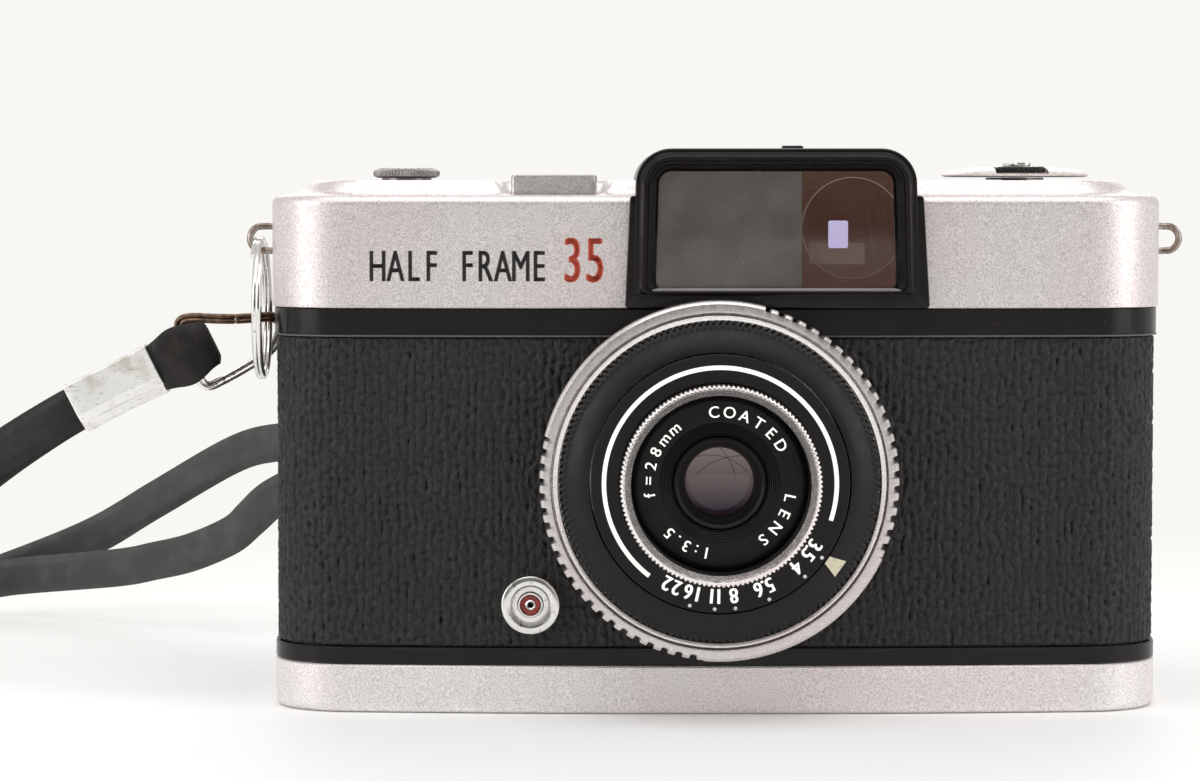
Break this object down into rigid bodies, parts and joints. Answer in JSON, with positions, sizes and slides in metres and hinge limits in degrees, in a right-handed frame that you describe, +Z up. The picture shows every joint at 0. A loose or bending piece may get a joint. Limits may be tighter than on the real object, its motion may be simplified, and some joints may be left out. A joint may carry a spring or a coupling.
{
  "type": "half frame camera",
  "caption": "Compact half frame viewfinder camera with a satin silver top and base, black leatherette, knurled lens rings and a black wrist strap.",
  "frame": {"origin": "on the resting plane below the lens axis, near mid depth of the body", "axes": "+X to the right seen from the front, +Y from the lens towards the back, +Z up"},
  "size_m": [0.1772, 0.1156, 0.0688],
  "materials": {
    "satin_silver": "satin",
    "black_enamel": "gloss",
    "black_leatherette": "embossed",
    "bright_chrome": "polished",
    "black_anodised": "satin",
    "plain_steel": "satin",
    "gear_brass": "satin",
    "coated_glass": "polished",
    "mask_grey": "matt",
    "red_insulator": "satin",
    "strap_leather": "satin",
    "tarnished_wire": "worn"
  },
  "bodies": {
    "camera_body": {"body_casting": "black_enamel", "front_leatherette": "black_leatherette", "sync_socket": "bright_chrome", "sync_insulator": "red_insulator", "top_cover": "satin_silver", "finder_housing": "black_enamel", "finder_window": "coated_glass", "finder_mask": "mask_grey", "finder_front_lens": "coated_glass", "finder_eyepiece": "coated_glass", "finder_roof_screw": "black_anodised", "button_spring": "plain_steel", "helicoid_mount": "black_anodised", "strap_lug_left": "tarnished_wire", "strap_lug_right": "tarnished_wire"},
    "back": {"back_cover": "black_enamel", "back_leatherette": "black_leatherette", "base_plate": "satin_silver", "tripod_bush": "plain_steel"},
    "pressure_plate": {"pressure_plate": "plain_steel"},
    "back_key": {"back_key_disc": "plain_steel"},
    "back_key_bail": {"back_key_bail": "bright_chrome"},
    "rewind_release": {"rewind_release_button": "plain_steel"},
    "advance_wheel": {"advance_wheel": "satin_silver", "advance_gear": "gear_brass"},
    "takeup_spool": {"takeup_spool": "black_anodised"},
    "sprocket": {"sprocket_shaft": "plain_steel", "sprocket_gear": "gear_brass"},
    "counter_dial": {"counter_dial": "bright_chrome"},
    "shutter_button": {"shutter_button": "satin_silver", "release_rod": "plain_steel"},
    "rewind_sleeve": {"rewind_washer": "plain_steel"},
    "rewind_knob": {"rewind_knob": "satin_silver", "rewind_shaft": "plain_steel"},
    "rewind_crank": {"rewind_crank": "bright_chrome"},
    "crank_grip": {"crank_grip": "black_anodised"},
    "focus_ring": {"focus_ring": "satin_silver"},
    "lens_unit": {"shutter_case": "black_anodised", "index_ring": "bright_chrome", "name_ring": "black_anodised", "front_retaining_ring": "black_anodised", "front_lens": "coated_glass", "middle_lens": "coated_glass", "rear_lens": "coated_glass"},
    "speed_ring": {"speed_ring": "black_anodised"},
    "aperture_ring": {"aperture_scale_ring": "black_anodised", "filter_ring": "bright_chrome"},
    "shutter_drive": {"shutter_drive_ring": "plain_steel"},
    "aperture_blade_1": {"aperture_blade_1": "black_anodised"},
    "aperture_blade_2": {"aperture_blade_2": "black_anodised"},
    "aperture_blade_3": {"aperture_blade_3": "black_anodised"},
    "aperture_blade_4": {"aperture_blade_4": "black_anodised"},
    "aperture_blade_5": {"aperture_blade_5": "black_anodised"},
    "shutter_blade_1": {"shutter_blade_1": "plain_steel"},
    "shutter_blade_2": {"shutter_blade_2": "plain_steel"},
    "shutter_blade_3": {"shutter_blade_3": "plain_steel"},
    "strap_ring": {"strap_split_ring": "bright_chrome"},
    "strap_link": {"strap_link_ring": "tarnished_wire"},
    "strap": {"strap_band": "strap_leather", "strap_crimp": "bright_chrome"}
  },
  "joints": [
    {"name": "advance_wheel_spin", "type": "hinge", "parent": "camera_body", "child": "advance_wheel", "pos_m": [-0.0383, 0.0023, 0.053], "axis": [0, 0, 1], "continuous": true},
    {"name": "takeup_spin", "type": "hinge", "parent": "camera_body", "child": "takeup_spool", "pos_m": [-0.0383, 0.0023, 0.027], "axis": [0, 0, 1], "continuous": true},
    {"name": "sprocket_spin", "type": "hinge", "parent": "camera_body", "child": "sprocket", "pos_m": [-0.01874, 0.00415, 0.027], "axis": [0, 0, 1], "continuous": true},
    {"name": "counter_spin", "type": "hinge", "parent": "camera_body", "child": "counter_dial", "pos_m": [-0.0383, 0.0023, 0.065], "axis": [0, 0, 1], "continuous": true},
    {"name": "release_press", "type": "slide", "parent": "camera_body", "child": "shutter_button", "axis": [0, 0, -1], "range_m": [0, 0.0022], "stiffness_N_per_m": 400, "springref_m": -0.0005, "deforming": ["button_spring"]},
    {"name": "rewind_pull", "type": "slide", "parent": "camera_body", "child": "rewind_sleeve", "axis": [0, 0, 1], "range_m": [0, 0.006]},
    {"name": "rewind_spin", "type": "hinge", "parent": "rewind_sleeve", "child": "rewind_knob", "pos_m": [0.0373, 0.0008, 0.0657], "axis": [0, 0, 1], "continuous": true},
    {"name": "crank_fold", "type": "hinge", "parent": "rewind_knob", "child": "rewind_crank", "pos_m": [0.0373, 0.0023, 0.0661], "axis": [-1, 0, 0], "range_deg": [0, 110]},
    {"name": "crank_grip_spin", "type": "hinge", "parent": "rewind_crank", "child": "crank_grip", "pos_m": [0.0373, -0.0052, 0.0659], "axis": [0, 0, 1], "continuous": true},
    {"name": "focus_turn", "type": "hinge", "parent": "camera_body", "child": "focus_ring", "pos_m": [0, -0.019, 0.0288], "axis": [0, -1, 0], "range_deg": [0, 100]},
    {"name": "lens_extend", "type": "slide", "parent": "camera_body", "child": "lens_unit", "axis": [0, -1, 0], "range_m": [0, 0.0014]},
    {"name": "speed_turn", "type": "hinge", "parent": "lens_unit", "child": "speed_ring", "pos_m": [0, -0.021, 0.0288], "axis": [0, -1, 0], "range_deg": [0, 90]},
    {"name": "aperture_turn", "type": "hinge", "parent": "lens_unit", "child": "aperture_ring", "pos_m": [0, -0.024, 0.0288], "axis": [0, -1, 0], "range_deg": [0, 79]},
    {"name": "aperture_blade_1_turn", "type": "hinge", "parent": "lens_unit", "child": "aperture_blade_1", "pos_m": [0.0096, -0.01269, 0.0288], "axis": [0, -1, 0], "range_deg": [0, 28.5]},
    {"name": "aperture_blade_2_turn", "type": "hinge", "parent": "lens_unit", "child": "aperture_blade_2", "pos_m": [0.00297, -0.01244, 0.03793], "axis": [0, -1, 0], "range_deg": [0, 28.5]},
    {"name": "aperture_blade_3_turn", "type": "hinge", "parent": "lens_unit", "child": "aperture_blade_3", "pos_m": [-0.00777, -0.01219, 0.03444], "axis": [0, -1, 0], "range_deg": [0, 28.5]},
    {"name": "aperture_blade_4_turn", "type": "hinge", "parent": "lens_unit", "child": "aperture_blade_4", "pos_m": [-0.00777, -0.01194, 0.02316], "axis": [0, -1, 0], "range_deg": [0, 28.5]},
    {"name": "aperture_blade_5_turn", "type": "hinge", "parent": "lens_unit", "child": "aperture_blade_5", "pos_m": [0.00297, -0.01169, 0.01967], "axis": [0, -1, 0], "range_deg": [0, 28.5]},
    {"name": "shutter_drive_turn", "type": "hinge", "parent": "lens_unit", "child": "shutter_drive", "pos_m": [0, -0.0132, 0.0288], "axis": [0, -1, 0], "range_deg": [0, 30]},
    {"name": "shutter_blade_1_turn", "type": "hinge", "parent": "lens_unit", "child": "shutter_blade_1", "pos_m": [0.0096, -0.01124, 0.0288], "axis": [0, -1, 0], "range_deg": [-41, 0]},
    {"name": "shutter_blade_2_turn", "type": "hinge", "parent": "lens_unit", "child": "shutter_blade_2", "pos_m": [-0.0048, -0.01094, 0.03711], "axis": [0, -1, 0], "range_deg": [-41, 0]},
    {"name": "shutter_blade_3_turn", "type": "hinge", "parent": "lens_unit", "child": "shutter_blade_3", "pos_m": [-0.0048, -0.01064, 0.02049], "axis": [0, -1, 0], "range_deg": [-41, 0]},
    {"name": "back_slide", "type": "slide", "parent": "camera_body", "child": "back", "axis": [0, 1, 0], "range_m": [0, 0.03]},
    {"name": "pressure_plate_slide", "type": "slide", "parent": "back", "child": "pressure_plate", "axis": [0, 1, 0], "range_m": [0, 0.0008], "stiffness_N_per_m": 300, "springref_m": -0.0005},
    {"name": "back_key_turn", "type": "hinge", "parent": "back", "child": "back_key", "pos_m": [0.037, -0.002, 0.0005], "axis": [0, 0, -1], "range_deg": [0, 180]},
    {"name": "key_bail_fold", "type": "hinge", "parent": "back_key", "child": "back_key_bail", "pos_m": [0.037, -0.00005, 0.0003], "axis": [1, 0, 0], "range_deg": [0, 90]},
    {"name": "rewind_release_press", "type": "slide", "parent": "back", "child": "rewind_release", "axis": [0, 0, 1], "range_m": [0, 0.001], "stiffness_N_per_m": 300, "springref_m": -0.0005},
    {"name": "strap_ring_swing", "type": "hinge", "parent": "camera_body", "child": "strap_ring", "pos_m": [-0.05625, 0, 0.0574], "axis": [0, 1, 0], "range_deg": [0, 35]},
    {"name": "strap_link_swing", "type": "hinge", "parent": "strap_ring", "child": "strap_link", "pos_m": [-0.05625, 0.0075, 0.0453], "axis": [0, 1, 0], "range_deg": [0, 20]},
    {"name": "strap_swing", "type": "hinge", "parent": "strap_link", "child": "strap", "pos_m": [-0.0655, 0.0028, 0.0432], "axis": [0, 0, 1], "range_deg": [-8, 8]}
  ],
  "couplings": [
    {"joint": "takeup_spin", "follows": "advance_wheel_spin", "ratio": 1},
    {"joint": "sprocket_spin", "follows": "advance_wheel_spin", "ratio": -1.3333},
    {"joint": "counter_spin", "follows": "advance_wheel_spin", "ratio": 0.0351},
    {"joint": "focus_turn", "follows": "lens_extend", "rad_per_m": 1246.6},
    {"joint": "aperture_blade_1_turn", "follows": "aperture_turn", "ratio": 0.35443},
    {"joint": "aperture_blade_2_turn", "follows": "aperture_turn", "ratio": 0.35443},
    {"joint": "aperture_blade_3_turn", "follows": "aperture_turn", "ratio": 0.35443},
    {"joint": "aperture_blade_4_turn", "follows": "aperture_turn", "ratio": 0.35443},
    {"joint": "aperture_blade_5_turn", "follows": "aperture_turn", "ratio": 0.35443},
    {"joint": "shutter_blade_1_turn", "follows": "shutter_drive_turn", "ratio": -1.33},
    {"joint": "shutter_blade_2_turn", "follows": "shutter_drive_turn", "ratio": -1.33},
    {"joint": "shutter_blade_3_turn", "follows": "shutter_drive_turn", "ratio": -1.33}
  ]
}
